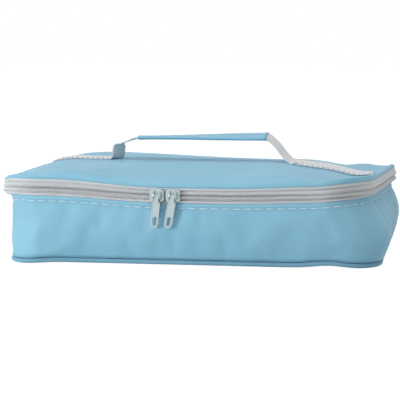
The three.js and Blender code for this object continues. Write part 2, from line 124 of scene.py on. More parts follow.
# Stitches, as pitch, length and radius of the thread
TOPSTITCH = (8.4 * MM, 7.2 * MM, 0.42 * MM)
BINDING_STITCH = (4.0 * MM, 2.8 * MM, 0.28 * MM)
STRAP_FRONT_STITCH = (4.2 * MM, 2.7 * MM, 0.2 * MM)
STRAP_REAR_STITCH = (4.2 * MM, 2.4 * MM, 0.12 * MM)

# Sizes of the patterns on the materials
WAVE_PERIOD = math.pi / 10  # of a band texture at scale 1
WEAVE_PITCH = 0.9 * MM
BINDING_RIB = 1.0 * MM
ZIP_TAPE_RIB = 0.8 * MM
WEBBING_RIB = 1.3 * MM
COAT_CLOUD = 45.5 * MM
TAPE_FUZZ = 1.11 * MM
FILAMENT_SHADE = 3.33 * MM
TUMBLING_MARK = 0.714 * MM
FILM_CREASE = 18.2 * MM
FILM_CRUMPLE = 7.7 * MM
FOAM_CELL = 1.43 * MM

# How far the soft bag has settled
LEFT_CLIMB = 4.0 * MM
RIGHT_CLIMB = 1.8 * MM
RIGHT_TIP_CLIMB = 2.1 * MM
REAR_DIP = 1.5 * MM
CORNER_PULL = 14 * MM
BAND_BULGE = 1.3 * MM
BAND_STRETCH = 66.0  # share per metre by which the band opens above the chain, where it climbs
INNER_CLIMB = 0.1  # share of the zip's climb that the padding, film and binding follow
LEAN = 6.5 * MM
LEAN_HEIGHT = 52 * MM
RIGHT_TUCK = 3.4 * MM
RIGHT_BULGE = 3.6 * MM
FRONT_BELLY = 0.8 * MM
LEFT_FOOT_OUT = 5.0 * MM
LEFT_FOOT_FORWARD = 15.0 * MM
SWELL_FRAMES = 18  # of cloth simulation

# The plan outline starts at the left end of the rear and goes round by the front
CORNERS = [(-1, 1), (-1, -1), (1, -1), (1, 1)]
SIDE_LENGTH = 2 * (HALF_DEPTH - CORNER)
FRONT_LENGTH = 2 * (HALF_WIDTH - CORNER)
STRAIGHTS = [SIDE_LENGTH, FRONT_LENGTH, SIDE_LENGTH, FRONT_LENGTH]
ARC = CORNER * math.pi / 2
PERIMETER = 4 * ARC + sum(STRAIGHTS)
ZIP_LENGTH = PERIMETER - FRONT_LENGTH
COLUMNS = 264
around_bag = np.arange(COLUMNS) * PERIMETER / COLUMNS
along_zip = np.linspace(0, ZIP_LENGTH, 300)


def smooth(value, low, high):
    """A smooth step from 0 at low to 1 at high."""
    share = np.clip((value - low) / (high - low), 0, 1)
    return share * share * (3 - 2 * share)


def hump(value, middle, reach):
    """A soft bump, 1 at its middle."""
    return np.exp(-(((value - middle) / reach) ** 2))


def plan(distance):
    """Places on the outline and their outward normals, at distances along it."""
    distance = np.mod(np.asarray(distance, float), PERIMETER)
    place = np.zeros(distance.shape + (2,))
    normal = np.zeros_like(place)
    start = 0.0
    for corner, (side_x, side_y) in enumerate(CORNERS):
        left = distance - start
        here = (left >= 0) & (left <= ARC + STRAIGHTS[corner])
        angle = math.pi / 2 * (1 + corner + np.clip(left / ARC, 0, 1))
        along = np.maximum(left - ARC, 0)
        heading = math.pi / 2 * (3 + corner)
        facing = np.stack([np.cos(angle), np.sin(angle)], axis=-1)
        middle = np.array([side_x * (HALF_WIDTH - CORNER), side_y * (HALF_DEPTH - CORNER)])
        travel = along[..., None] * np.array([math.cos(heading), math.sin(heading)])
        place[here] = (middle + CORNER * facing + travel)[here]
        normal[here] = facing[here]
        start += ARC + STRAIGHTS[corner]
    return place, normal


def around(distances, section):
    """A section of (offset inwards, height) points, taken along the outline: an array of rings."""
    place, normal = plan(distances)
    offsets = np.array([offset for offset, _ in section])
    heights = np.array([height for _, height in section])
    flat = place[:, None, :] - normal[:, None, :] * offsets[None, :, None]
    rings = np.zeros((len(distances), len(section), 3))
    rings[..., :2] = flat
    rings[..., 2] = heights
    return rings


def inset_at(x, y):
    """How far a place is in from the outline."""
    past_x = np.abs(x) - (HALF_WIDTH - CORNER)
    past_y = np.abs(y) - (HALF_DEPTH - CORNER)
    past_both = np.hypot(np.maximum(past_x, 0), np.maximum(past_y, 0))
    return CORNER - past_both - np.minimum(np.maximum(past_x, past_y), 0)


def wall_draw(height):
    """How far the walls are drawn in towards the bottom seam."""
    share = (DRAW_HEIGHT - np.maximum(height, WALL_BOTTOM)) / (DRAW_HEIGHT - WALL_BOTTOM)
    return WALL_DRAW * np.maximum(share, 0) ** 2


# How the soft bag has settled
def zip_rise(x, y):
    """How far the zip's ring climbs: at both front corners, with a dip at the rear right."""
    left = LEFT_CLIMB * smooth(-x, 15 * MM, 105 * MM) * (1 - 0.85 * smooth(y, -97 * MM, -66 * MM))
    right = RIGHT_CLIMB * smooth(x, 30 * MM, 108 * MM) + RIGHT_TIP_CLIMB * smooth(x, 100 * MM, 148 * MM)
    rear_dip = REAR_DIP * hump(x, 106 * MM, 16 * MM) * smooth(y, 60 * MM, 95 * MM)
    return left + right * (1 - smooth(y, 45 * MM, 100 * MM)) - rear_dip


def zip_shift(x, y):
    """How far the zip's ring is moved to the right. Its right front corner and its left end are pulled in."""
    from_front = np.clip(1 - (y + HALF_DEPTH) / (170 * MM), 0, 1)
    front_corner = -CORNER_PULL * smooth(x, 60 * MM, 150 * MM) * from_front ** 2
    rear_corner = 2.0 * MM * smooth(x, 120 * MM, 150 * MM) * smooth(y, 0, 60 * MM)
    left_end = 3.0 * MM * smooth(-x, 120 * MM, 150 * MM)
    return front_corner + rear_corner + left_end


def band_bulge(x, z):
    """How far the zip's band stands out at the two ends of the bag."""
    band = np.maximum(1 - ((z - ZIP_HEIGHT) / (7 * MM)) ** 2, 0)
    return BAND_BULGE * band * (smooth(x, 120 * MM, 150 * MM) - smooth(-x, 120 * MM, 150 * MM))


def settle_base(points, climb=1.0):
    """Moves points of the tub. climb is the share of the zip's climb that they follow.

    The tub leans, so that its bottom stands further right than the zip. Its left end hangs in under the zip,
    its right end bulges, and its left front foot is drawn forward.
    """
    x, y, z = points[..., 0], points[..., 1], points[..., 2]
    below_zip = 1 - smooth(z, PANEL_TOP - MM, PANEL_TOP + 2.5 * MM)
    low = 1 - smooth(z, 0, 34 * MM)
    lean = LEAN * np.clip(1 - z / LEAN_HEIGHT, 0, 1)
    left_end = smooth(-x, 95 * MM, 148 * MM)
    right_end = smooth(x, 95 * MM, 148 * MM)
    front = smooth(-y, 25 * MM, 95 * MM)
    left_corner = smooth(-x, 70 * MM, 142 * MM) * front * low
    right_corner = smooth(x, 90 * MM, 142 * MM) * front * low
    hang = 3.4 * MM * smooth(z, 2 * MM, 9 * MM) + 1.9 * MM * smooth(z, 8 * MM, 34 * MM)
    hang = hang * left_end * below_zip
    tuck = RIGHT_TUCK * smooth(z, 32 * MM, PANEL_TOP) * below_zip
    bulge = right_end * (RIGHT_BULGE * hump(z, 22 * MM, 14 * MM) - tuck)
    belly = FRONT_BELLY * front * hump(z, 26 * MM, 14 * MM) * hump(x, 30 * MM, 110 * MM)
    moved = points.copy()
    moved[..., 0] += lean + hang + bulge - LEFT_FOOT_OUT * left_corner + 0.5 * MM * right_corner
    moved[..., 0] += zip_shift(x, y) * smooth(z, 16 * MM, 50 * MM) + band_bulge(x, z)
    moved[..., 1] -= LEFT_FOOT_FORWARD * left_corner + 1.0 * MM * right_corner + belly
    moved[..., 2] += climb * zip_rise(x, y) * smooth(z, 15 * MM, PANEL_TOP)
    lifted = 0.9 * MM * hump(x, -104 * MM, 16 * MM) + 2.0 * MM * hump(x, 104 * MM, 16 * MM)
    moved[..., 2] += lifted * smooth(-y, 60 * MM, 90 * MM) * (1 - smooth(z, 4 * MM, 16 * MM))
    return moved


def settle_lid(points):
    """Moves points of the lid with the zip's ring, less and less towards its middle."""
    x, y, z = points[..., 0], points[..., 1], points[..., 2]
    inset = inset_at(x, y)
    moved = points.copy()
    moved[..., 0] += zip_shift(x, y) * (1 - smooth(inset, 0, 40 * MM)) + band_bulge(x, z)
    stretch = 1 + BAND_STRETCH * np.clip(z - ZIP_HEIGHT, 0, LID_EDGE - ZIP_HEIGHT)
    reach = (60 - 50 * smooth(x, 40 * MM, 110 * MM)) * MM
    moved[..., 2] += zip_rise(x, y) * (1 - smooth(inset, 0, reach)) * stretch
    return moved


def lid_height(x, y):
    """Height of the lid's outer face before its edge follows the zip.

    The lid is slack at its left end, with a ridge under the webbing, and full at its rear left. Its right end
    is flat: it sags under the webbing, falls towards the front and stands up at its rear corner.
    """
    inset = np.maximum(inset_at(x, y), 0)
    share = np.clip(inset / CROWN_REACH, 0, 1)
    settled = LID_SETTLE * (1 - smooth(HALF_WIDTH - x, SETTLE_END, CROWN_REACH))
    left_end = smooth(-x, 90 * MM, 140 * MM)
    rear_right = smooth(x, -40 * MM, 40 * MM) * smooth(y, 10 * MM, 70 * MM)
    fullness = CROWN_FULLNESS + 0.75 * left_end + 0.5 * rear_right
    rise = LID_RISE * (1 - (1 - share) ** 2) ** fullness * (1 - settled)
    inner = smooth(inset, 4 * MM, 28 * MM)
    full = 1.8 * MM * hump(x, -88 * MM, 48 * MM) * hump(y, 66 * MM, 30 * MM)
    ridge = 2.2 * MM * hump(x, -116 * MM, 17 * MM) * hump(y, 0, 32 * MM)
    flat = 1.4 * MM * hump(x, 60 * MM, 60 * MM) * hump(y, 55 * MM, 45 * MM)
    drag = 3.0 * MM * (smooth(y, -14 * MM, 14 * MM) - 0.5)
    drag = drag * smooth(x, 60 * MM, 85 * MM) * (1 - smooth(x, 118 * MM, 140 * MM))
    sag = 2.0 * MM * hump(x, 88 * MM, 16 * MM) + 1.6 * MM * hump(x, 128 * MM, 16 * MM)
    under_webbing = (drag - sag) * (1 - smooth(np.abs(y), 25 * MM, 75 * MM))
    rear_corner = 1.5 * MM * hump(x, 129 * MM, 12 * MM) - 1.7 * MM * hump(x, 105 * MM, 12 * MM)
    rear_corner = rear_corner * hump(y, 80 * MM, 24 * MM) * smooth(inset, MM, 10 * MM)
    right_tip = 0.8 * MM * smooth(x, 118 * MM, 138 * MM) * smooth(y, -60 * MM, -20 * MM)
    edge = LIP_TOP - 0.9 * MM * left_end - 0.6 * MM * rear_right - right_tip
    return edge + rise + rear_corner + inner * (full + ridge - flat + under_webbing)


def quads(rows, columns, wrap_rows=False, wrap_columns=False):
    """Faces of a grid of points, which may close on itself either way."""
    i, j = np.meshgrid(
        np.arange(rows if wrap_rows else rows - 1),
        np.arange(columns if wrap_columns else columns - 1),
        indexing="ij",
    )
    i, j = i.ravel(), j.ravel()
    below, after = (i + 1) % rows, (j + 1) % columns
    corners = [i * columns + j, i * columns + after, below * columns + after, below * columns + j]
    return np.stack(corners, axis=1).tolist()


def make_piece(name, points, faces, material, uv=None):
    """A mesh object with its faces turned outwards. uv, in metres, gives a weave its direction."""
    mesh = bpy.data.meshes.new(name)
    mesh.from_pydata(np.asarray(points).reshape(-1, 3).tolist(), [], faces)
    if uv is not None:
        layer = mesh.uv_layers.new(name="weave")
        corner_points = np.zeros(len(mesh.loops), np.int32)
        mesh.loops.foreach_get("vertex_index", corner_points)
        layer.data.foreach_set("uv", np.asarray(uv).reshape(-1, 2)[corner_points].ravel())
    turned = bmesh.new()
    turned.from_mesh(mesh)
    bmesh.ops.recalc_face_normals(turned, faces=turned.faces)
    turned.to_mesh(mesh)
    turned.free()
    mesh.shade_smooth()
    piece = bpy.data.objects.new(name, mesh)
    bpy.context.scene.collection.objects.link(piece)
    mesh.materials.append(material)
    return piece


def make_sweep(name, rings, material, looped=False):
    """A solid from closed rings. An open run of rings is capped at both ends."""
    rows, columns = rings.shape[:2]
    faces = quads(rows, columns, looped, True)
    if not looped:
        last = (rows - 1) * columns
        faces.append(list(range(columns)))
        faces.append(list(range(last, last + columns)))
    middle = rings.mean(axis=1)
    along = np.concatenate([[0], np.cumsum(np.linalg.norm(np.diff(middle, axis=0), axis=1))])
    across = np.linalg.norm(np.diff(rings[0], axis=0, append=rings[0][:1]), axis=1)
    across = np.concatenate([[0], np.cumsum(across)[:-1]])
    uv = np.stack(np.meshgrid(along, across, indexing="ij"), axis=-1)
    return make_piece(name, rings, faces, material, uv)


def refined(section, step):
    """A closed section with points no further apart than step."""
    corners = np.array(section)
    points = []
    for here, there in zip(corners, np.roll(corners, -1, axis=0)):
        count = max(1, math.ceil(np.linalg.norm(there - here) / step))
        points += [tuple(here + (there - here) * i / count) for i in range(count)]
    return points


def filled_outline(rings, spacing):
    """Points and faces of a dish: rings of points from its rim inwards, and an even fill inside the last."""
    rows, columns = rings.shape[:2]
    inner = rings[-1]
    reach = inset_at(inner[:, 0], inner[:, 1]).mean() + 0.6 * spacing
    xs = np.arange(-HALF_WIDTH, HALF_WIDTH, spacing)
    ys = np.arange(-HALF_DEPTH, HALF_DEPTH, spacing * 0.866)
    grid_x, grid_y = np.meshgrid(xs, ys)
    grid_x = grid_x + (np.arange(len(ys)) % 2)[:, None] * spacing / 2
    inside = inset_at(grid_x, grid_y) > reach
    fill = np.stack([grid_x[inside], grid_y[inside]], axis=1)
    flat = [Vector(p) for p in np.concatenate([inner[:, :2], fill])]
    loop = [(i, (i + 1) % columns) for i in range(columns)]
    _, _, triangles, origin, _, _ = delaunay_2d_cdt(flat, loop, [], 1, 1e-7)
    start = (rows - 1) * columns
    sources = [start + ids[0] for ids in origin]
    faces = quads(rows, columns, False, True)
    faces += [[sources[i] for i in triangle] for triangle in triangles]
    fill_points = np.concatenate([fill, np.full((len(fill), 1), inner[:, 2].mean())], axis=1)
    return np.concatenate([rings.reshape(-1, 3), fill_points]), faces


def make_dish(name, levels, material, spacing, settle):
    """A sheet over the plan: (offset, height) levels at its rim and an even fill. settle moves its points."""
    rings = around(around_bag, levels).transpose(1, 0, 2)
    points, faces = filled_outline(rings, spacing)
    points = settle(points)
    return make_piece(name, points, faces, material, points[:, :2])


def get_points(piece):
    points = np.zeros(len(piece.data.vertices) * 3)
    piece.data.vertices.foreach_get("co", points)
    return points.reshape(-1, 3)


def set_points(piece, points):
    piece.data.vertices.foreach_set("co", np.asarray(points, float).ravel())
    piece.data.update()


def get_normals(piece):
    return np.array([normal.vector for normal in piece.data.vertex_normals])


def thicken(piece, thickness):
    """Gives a sheet its thickness behind the face that shows."""
    layer = piece.modifiers.new("thickness", "SOLIDIFY")
    layer.thickness = thickness
    layer.offset = -1


def swell(piece, sewn, slack, pressure, outwards, inwards):
    """Cloth held at its sewn points, cut a little full and pushed out by the padding behind it. No point goes
    further out or in than given."""
    rest = get_points(piece)
    normals = get_normals(piece)
    held = piece.vertex_groups.new(name="sewn")
    held.add([int(i) for i in np.flatnonzero(sewn)], 1.0, "REPLACE")
    cloth = piece.modifiers.new("swell", "CLOTH")
    cloth.settings.vertex_group_mass = held.name
    cloth.settings.quality = 6
    cloth.settings.mass = 0.2
    cloth.settings.bending_stiffness = 2.0
    cloth.settings.shrink_min = -slack
    cloth.settings.use_pressure = True
    cloth.settings.uniform_pressure_force = pressure
    cloth.settings.effector_weights.gravity = 0
    cloth.collision_settings.use_collision = False
    for number in range(1, SWELL_FRAMES + 1):
        bpy.context.scene.frame_set(number)
    shown = piece.evaluated_get(bpy.context.evaluated_depsgraph_get())
    swollen = np.array([vertex.co for vertex in shown.data.vertices])
    piece.modifiers.remove(cloth)
    piece.vertex_groups.remove(held)
    bpy.context.scene.frame_set(1)
    move = swollen - rest
    depth = (move * normals).sum(axis=1)
    kept = np.clip(depth, -inwards, outwards)
    set_points(piece, rest + move + normals * (kept - depth)[:, None])


def tube_rings(path, radius, sides, side_way):
    """Rings of a tube along a path. side_way is a direction that the path never runs along."""
    forward = np.gradient(path, axis=0)
    forward /= np.linalg.norm(forward, axis=1)[:, None]
    across = np.cross(forward, side_way)
    across /= np.linalg.norm(across, axis=1)[:, None]
    up = np.cross(across, forward)
    turn = np.arange(sides) * 2 * math.pi / sides
    spread = across[:, None] * np.cos(turn)[None, :, None] + up[:, None] * np.sin(turn)[None, :, None]
    return path[:, None] + spread * np.broadcast_to(radius, len(path))[:, None, None]


def make_stitches(name, line, normals, stitch, thread):
    """A row of stitches along a line of points. Each one dips into the cloth at its ends."""
    pitch, length, radius = stitch
    steps = np.linalg.norm(np.diff(line, axis=0), axis=1)
    along = np.concatenate([[0], np.cumsum(steps)])
    sides, stops = 6, 5
    share = np.linspace(-1, 1, stops)
    rings = []
    for middle in np.arange(pitch / 2, along[-1] - length / 2, pitch):
        at = middle + share * length / 2
        path = np.stack([np.interp(at, along, line[:, k]) for k in range(3)], axis=1)
        facing = np.stack([np.interp(at, along, normals[:, k]) for k in range(3)], axis=1)
        lift = radius * (0.9 - 1.5 * share ** 4)
        path = path + facing * lift[:, None]
        rings.append(tube_rings(path, radius * (1 - 0.45 * share ** 4), sides, facing))
    faces = []
    each = stops * sides
    for number in range(len(rings)):
        start = number * each
        faces += [[start + i for i in face] for face in quads(stops, sides, False, True)]
        faces.append([start + i for i in range(sides)])
        faces.append([start + each - sides + i for i in range(sides)])
    return make_piece(name, np.concatenate([ring.reshape(-1, 3) for ring in rings]), faces, thread)


def spline(stops, count):
    """A smooth path through a few stops."""
    stops = np.array(stops)
    ends = np.concatenate([[2 * stops[0] - stops[1]], stops, [2 * stops[-1] - stops[-2]]])
    at = np.linspace(0, len(stops) - 1, count)
    span = np.minimum(at.astype(int), len(stops) - 2)
    t = (at - span)[:, None]
    a, b, c, d = (ends[span + i] for i in range(4))
    slope = (c - a) * t
    bend = (2 * a - 5 * b + 4 * c - d) * t ** 2
    turn = (3 * b - a - 3 * c + d) * t ** 3
    return 0.5 * (2 * b + slope + bend + turn)


def stand_for(piece, body, node):
    """A piece rides on a body and takes the place of a node of the frame."""
    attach(piece, body)
    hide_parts(node)


# Materials
def linear(colour):
    """Linear light of an sRGB hex colour."""
    channels = [int(colour[i:i + 2], 16) / 255 for i in (0, 2, 4)]
    return [c / 12.92 if c <= 0.04045 else ((c + 0.055) / 1.055) ** 2.4 for c in channels] + [1.0]


def add_node(tree, kind, inputs, **settings):
    """Adds a node with its settings. An input is a plain value or the output of another node."""
    made = tree.nodes.new("ShaderNode" + kind)
    for name, value in settings.items():
        setattr(made, name, value)
    for socket, value in inputs.items():
        if isinstance(value, bpy.types.NodeSocket):
            tree.links.new(value, made.inputs[socket])
        else:
            made.inputs[socket].default_value = value
    return made


def start_material(name, **sockets):
    material = bpy.data.materials.new(name)
    material.use_nodes = True
    shader = material.node_tree.nodes["Principled BSDF"]
    for socket, value in sockets.items():
        shader.inputs[socket.replace("_", " ")].default_value = value
    return material, material.node_tree, shader


def coated_weave(name, pale, deep, thread_pitch):
    """Plain-woven polyester with a thin coat: an even satin face, a faint grid of threads, and soft clouds
    where the coat is thicker. The threads are drawn about twice their real spacing, so that they show."""
    material, tree, shader = start_material(name, Roughness=0.55, Sheen_Weight=0.08, Sheen_Roughness=0.4)
    shader.inputs["Specular IOR Level"].default_value = 0.28
    place = add_node(tree, "TexCoord", {})
    patches = {"Vector": place.outputs["Object"], "Scale": 1 / COAT_CLOUD, "Detail": 3.0}
    clouds = add_node(tree, "TexNoise", patches)
    tint = add_node(tree, "Mix", {0: clouds.outputs[0], 6: linear(pale), 7: linear(deep)}, data_type="RGBA")
    tree.links.new(tint.outputs[2], shader.inputs["Base Color"])
    scale = WAVE_PERIOD / thread_pitch
    warp = add_node(tree, "TexWave", {"Vector": place.outputs["UV"], "Scale": scale}, bands_direction="X")
    weft = add_node(tree, "TexWave", {"Vector": place.outputs["UV"], "Scale": scale}, bands_direction="Y")
    warp_swing = add_node(tree, "Math", {0: warp.outputs[1], 1: 0.5}, operation="SUBTRACT")
    weft_swing = add_node(tree, "Math", {0: weft.outputs[1], 1: 0.5}, operation="SUBTRACT")
    swings = {0: warp_swing.outputs[0], 1: weft_swing.outputs[0]}
    crossing = add_node(tree, "Math", swings, operation="MULTIPLY")
    bump = add_node(tree, "Bump", {"Height": crossing.outputs[0], "Strength": 0.25, "Distance": 0.3 * MM})
    tree.links.new(bump.outputs[0], shader.inputs["Normal"])
    return material


def ribbed_tape(name, pale, deep, rib_pitch, direction, roughness):
    """Knitted or woven narrow tape: matt, with fine ribs that catch the light along one way."""
    material, tree, shader = start_material(name, Roughness=roughness, Sheen_Weight=0.15)
    shader.inputs["Specular IOR Level"].default_value = 0.3
    place = add_node(tree, "TexCoord", {})
    spacing = {"Vector": place.outputs["UV"], "Scale": WAVE_PERIOD / rib_pitch}
    ribs = add_node(tree, "TexWave", spacing, bands_direction=direction)
    fibres = {"Vector": place.outputs["Object"], "Scale": 1 / TAPE_FUZZ, "Detail": 2.0}
    fuzz = add_node(tree, "TexNoise", fibres)
    blend = add_node(tree, "Math", {0: ribs.outputs[1], 1: fuzz.outputs[0]}, operation="MULTIPLY")
    tint = add_node(tree, "Mix", {0: blend.outputs[0], 6: linear(deep), 7: linear(pale)}, data_type="RGBA")
    tree.links.new(tint.outputs[2], shader.inputs["Base Color"])
    bump = add_node(tree, "Bump", {"Height": ribs.outputs[1], "Strength": 0.35, "Distance": 0.25 * MM})
    tree.links.new(bump.outputs[0], shader.inputs["Normal"])
    return material


def drawn_filament(name, pale, deep, roughness):
    """Extruded nylon or polyester filament: smooth and a little glossy, with slight changes of shade."""
    material, tree, shader = start_material(name, Roughness=roughness, IOR=1.53)
    place = add_node(tree, "TexCoord", {})
    patches = {"Vector": place.outputs["Object"], "Scale": 1 / FILAMENT_SHADE, "Detail": 1.0}
    shade = add_node(tree, "TexNoise", patches)
    tint = add_node(tree, "Mix", {0: shade.outputs[0], 6: linear(pale), 7: linear(deep)}, data_type="RGBA")
    tree.links.new(tint.outputs[2], shader.inputs["Base Color"])
    return material


def plated_casting(name, pale, deep):
    """Zinc casting, tumbled and nickel plated: a bright satin metal with faint tumbling marks."""
    material, tree, shader = start_material(name, Metallic=1.0)
    place = add_node(tree, "TexCoord", {})
    spacing = {"Vector": place.outputs["Object"], "Scale": 1 / TUMBLING_MARK, "Detail": 4.0}
    marks = add_node(tree, "TexNoise", spacing)
    tint = add_node(tree, "Mix", {0: marks.outputs[0], 6: linear(pale), 7: linear(deep)}, data_type="RGBA")
    tree.links.new(tint.outputs[2], shader.inputs["Base Color"])
    rough = add_node(tree, "MapRange", {0: marks.outputs[0], 3: 0.42, 4: 0.58})
    tree.links.new(rough.outputs[0], shader.inputs["Roughness"])
    bump = add_node(tree, "Bump", {"Height": marks.outputs[0], "Strength": 0.15, "Distance": 0.1 * MM})
    tree.links.new(bump.outputs[0], shader.inputs["Normal"])
    return material


def aluminised_film(name, pale, deep):
    """Polyester film with an aluminium coat on foam: silvery, creased, with soft broken reflections."""
    material, tree, shader = start_material(name, Metallic=0.85)
    place = add_node(tree, "TexCoord", {})
    facets = {"Vector": place.outputs["Object"], "Scale": 1 / FILM_CREASE}
    creases = add_node(tree, "TexVoronoi", facets, feature="DISTANCE_TO_EDGE")
    dents = {"Vector": place.outputs["Object"], "Scale": 1 / FILM_CRUMPLE, "Detail": 4.0}
    crumple = add_node(tree, "TexNoise", dents)
    tint = add_node(tree, "Mix", {0: crumple.outputs[0], 6: linear(pale), 7: linear(deep)}, data_type="RGBA")
    tree.links.new(tint.outputs[2], shader.inputs["Base Color"])
    rough = add_node(tree, "MapRange", {0: crumple.outputs[0], 3: 0.24, 4: 0.42})
    tree.links.new(rough.outputs[0], shader.inputs["Roughness"])
    fold = add_node(tree, "Math", {0: creases.outputs[0], 1: 0.12}, operation="MINIMUM")
    waves = {0: crumple.outputs[0], 1: 0.25, 2: fold.outputs[0]}
    relief = add_node(tree, "Math", waves, operation="MULTIPLY_ADD")
    bump = add_node(tree, "Bump", {"Height": relief.outputs[0], "Strength": 0.6, "Distance": 1.2 * MM})
    tree.links.new(bump.outputs[0], shader.inputs["Normal"])
    return material


def foamed_sheet(name, pale, deep):
    """Closed-cell polyethylene foam: matt white with a skin of small cells."""
    material, tree, shader = start_material(name, Roughness=0.8)
    shader.inputs["Subsurface Weight"].default_value = 0.1
    place = add_node(tree, "TexCoord", {})
    cells = add_node(tree, "TexVoronoi", {"Vector": place.outputs["Object"], "Scale": 1 / FOAM_CELL})
    tint = add_node(tree, "Mix", {0: cells.outputs[0], 6: linear(pale), 7: linear(deep)}, data_type="RGBA")
    tree.links.new(tint.outputs[2], shader.inputs["Base Color"])
    bump = add_node(tree, "Bump", {"Height": cells.outputs[0], "Strength": 0.3, "Distance": 0.4 * MM})
    tree.links.new(bump.outputs[0], shader.inputs["Normal"])
    return material


shell_cloth = coated_weave("coated_polyester_weave", "93cae2", "8ac2db", WEAVE_PITCH)
# The welt's cloth is the shell's weave in a deeper blue: painted shade for the shade that falls on the bead
# under the panel's bulge and near the floor.
painted_shade_welt_cloth = coated_weave("polyester_weave_painted_shade", "82b7cf", "79aec7", WEAVE_PITCH)
binding_cloth = ribbed_tape("woven_binding_tape", "93bfd3", "7aa6bb", BINDING_RIB, "X", 0.8)
tape_cloth = ribbed_tape("knitted_zip_tape", "eaecee", "d6dadd", ZIP_TAPE_RIB, "Y", 0.85)
webbing_cloth = ribbed_tape("woven_polypropylene_webbing", "fafbfc", "e3e6ea", WEBBING_RIB, "X", 0.7)
coil_filament = drawn_filament("extruded_nylon_coil", "e6e8ea", "d6d9dc", 0.42)
pale_thread = drawn_filament("polyester_sewing_thread_pale", "dcf2fb", "c4e4f1", 0.55)
# The dark thread is painted shade: it stands in for the shadow gaps along the front edge of the sewn straps.
painted_shade_thread = drawn_filament("polyester_sewing_thread_painted_shade", "55697a", "47596a", 0.6)
zinc_plate = plated_casting("nickel_plated_zinc", "bccbce", "a7b7b9")
liner_film = aluminised_film("aluminised_polyester_film", "d9dde1", "c2c8ce")
pad_foam = foamed_sheet("closed_cell_foam", "f2f3f4", "dfe3e6")


# Tub
def make_side_panel():
    wall_heights = np.concatenate([
        np.linspace(WALL_BOTTOM - 0.2 * MM, STITCH_HEIGHT, 15),
        STITCH_HEIGHT + np.array([0.25, 0.5, 0.75, 0.92, 1.0]) * (PANEL_TOP - STITCH_HEIGHT),
    ])
    rings = around(around_bag, [(wall_draw(z), z) for z in wall_heights])
    points = settle_base(rings)
    rows = len(wall_heights)
    along = np.broadcast_to(around_bag[:, None], (COLUMNS, rows))
    uv = np.stack([along, np.broadcast_to(wall_heights, (COLUMNS, rows))], axis=-1)
    panel = make_piece("side_panel", points, quads(COLUMNS, rows, True, False), shell_cloth, uv)
    height = np.tile(wall_heights, COLUMNS)
    sewn = (height >= STITCH_HEIGHT - 1e-6) | (height < WALL_BOTTOM + 1 * MM)
    swell(panel, sewn, slack=0.012, pressure=1.2, outwards=1.2 * MM, inwards=0.4 * MM)
    points, normals = get_points(panel), get_normals(panel)
    above = np.clip((height - STITCH_HEIGHT) / (PANEL_TOP - STITCH_HEIGHT), 0, 1)
    lift = HEM_RISE * np.sin(math.pi * above ** 0.8) - SEAM_DIP * hump(height, STITCH_HEIGHT, 0.7 * MM)
    wave = np.sin(2 * math.pi * along.ravel() / PUCKER_PITCH)
    puckers = wave * hump(height, STITCH_HEIGHT - 5 * MM, 5 * MM)
    lift += PUCKER * puckers * smooth(points[:, 0], -40 * MM, 40 * MM)
    set_points(panel, points + normals * lift[:, None])
    row = int(np.flatnonzero(np.isclose(wall_heights, STITCH_HEIGHT))[0])
    line = get_points(panel).reshape(COLUMNS, rows, 3)[:, row]
    facing = get_normals(panel).reshape(COLUMNS, rows, 3)[:, row]
    loop = np.append(np.arange(COLUMNS), 0)
    line, facing = line[loop], facing[loop]
    stitches = make_stitches("side_panel_topstitch", line, facing, TOPSTITCH, pale_thread)
    thicken(panel, CLOTH_THICKNESS)
    stitches.parent = panel
    stand_for(panel, "base", "base_side_panel")


def make_bottom():
    rim = [(10 * MM, 0.9 * MM), (11.5 * MM, 0.25 * MM), (13.5 * MM, 0)]
    bottom = make_dish("bottom_panel", rim, shell_cloth, 9 * MM, settle_base)
    thicken(bottom, BOTTOM_THICKNESS)
    stand_for(bottom, "base", "base_bottom_panel")
    turn = np.arange(16) * 2 * math.pi / 16
    middle, wide, high = WALL_DRAW + 2.3 * MM, 2.2 * MM, 2.0 * MM
    bead = [(middle + wide * math.cos(a), wide + high * math.sin(a)) for a in turn]
    rings = settle_base(around(around_bag, bead))
    # The welt's darker cloth is painted shade.
    welt = make_sweep("bottom_welt_bead", rings, painted_shade_welt_cloth, looped=True)
    stand_for(welt, "base", "bottom_welt")


def make_padding():
    top = PANEL_TOP - 1.2 * MM
    heights = np.linspace(WALL_BOTTOM, top, 10)
    pinch = 2.0 * MM * smooth(heights, TAPE_LOW - 3 * MM, TAPE_LOW)
    outer = [(FOAM_OUT + wall_draw(z) + thinner, z) for z, thinner in zip(heights, pinch)]
    inner = [(FOAM_IN + wall_draw(z), z) for z in heights[::-1]]
    rings = settle_base(around(around_bag, outer + inner), INNER_CLIMB)
    walls = make_sweep("wall_padding", rings, pad_foam, looped=True)
    stand_for(walls, "base", "side_foam")
    floor = make_dish("floor_padding", [(WALL_DRAW + 7.5 * MM, 5.2 * MM)], pad_foam, 12 * MM, settle_base)
    thicken(floor, 3.8 * MM)
    stand_for(floor, "base", "bottom_foam")


def crumple(points, depth):
    """Shallow uneven creases of a film, a little over 20 mm from crest to crest."""
    x, y, z = points[..., 0], points[..., 1], points[..., 2]
    along_x = np.sin(x * 310 + 2.2 * np.sin(y * 150 + z * 90))
    along_y = np.sin(y * 270 + 1.7 * np.sin(x * 190 + z * 240))
    return depth * (along_x * along_y)


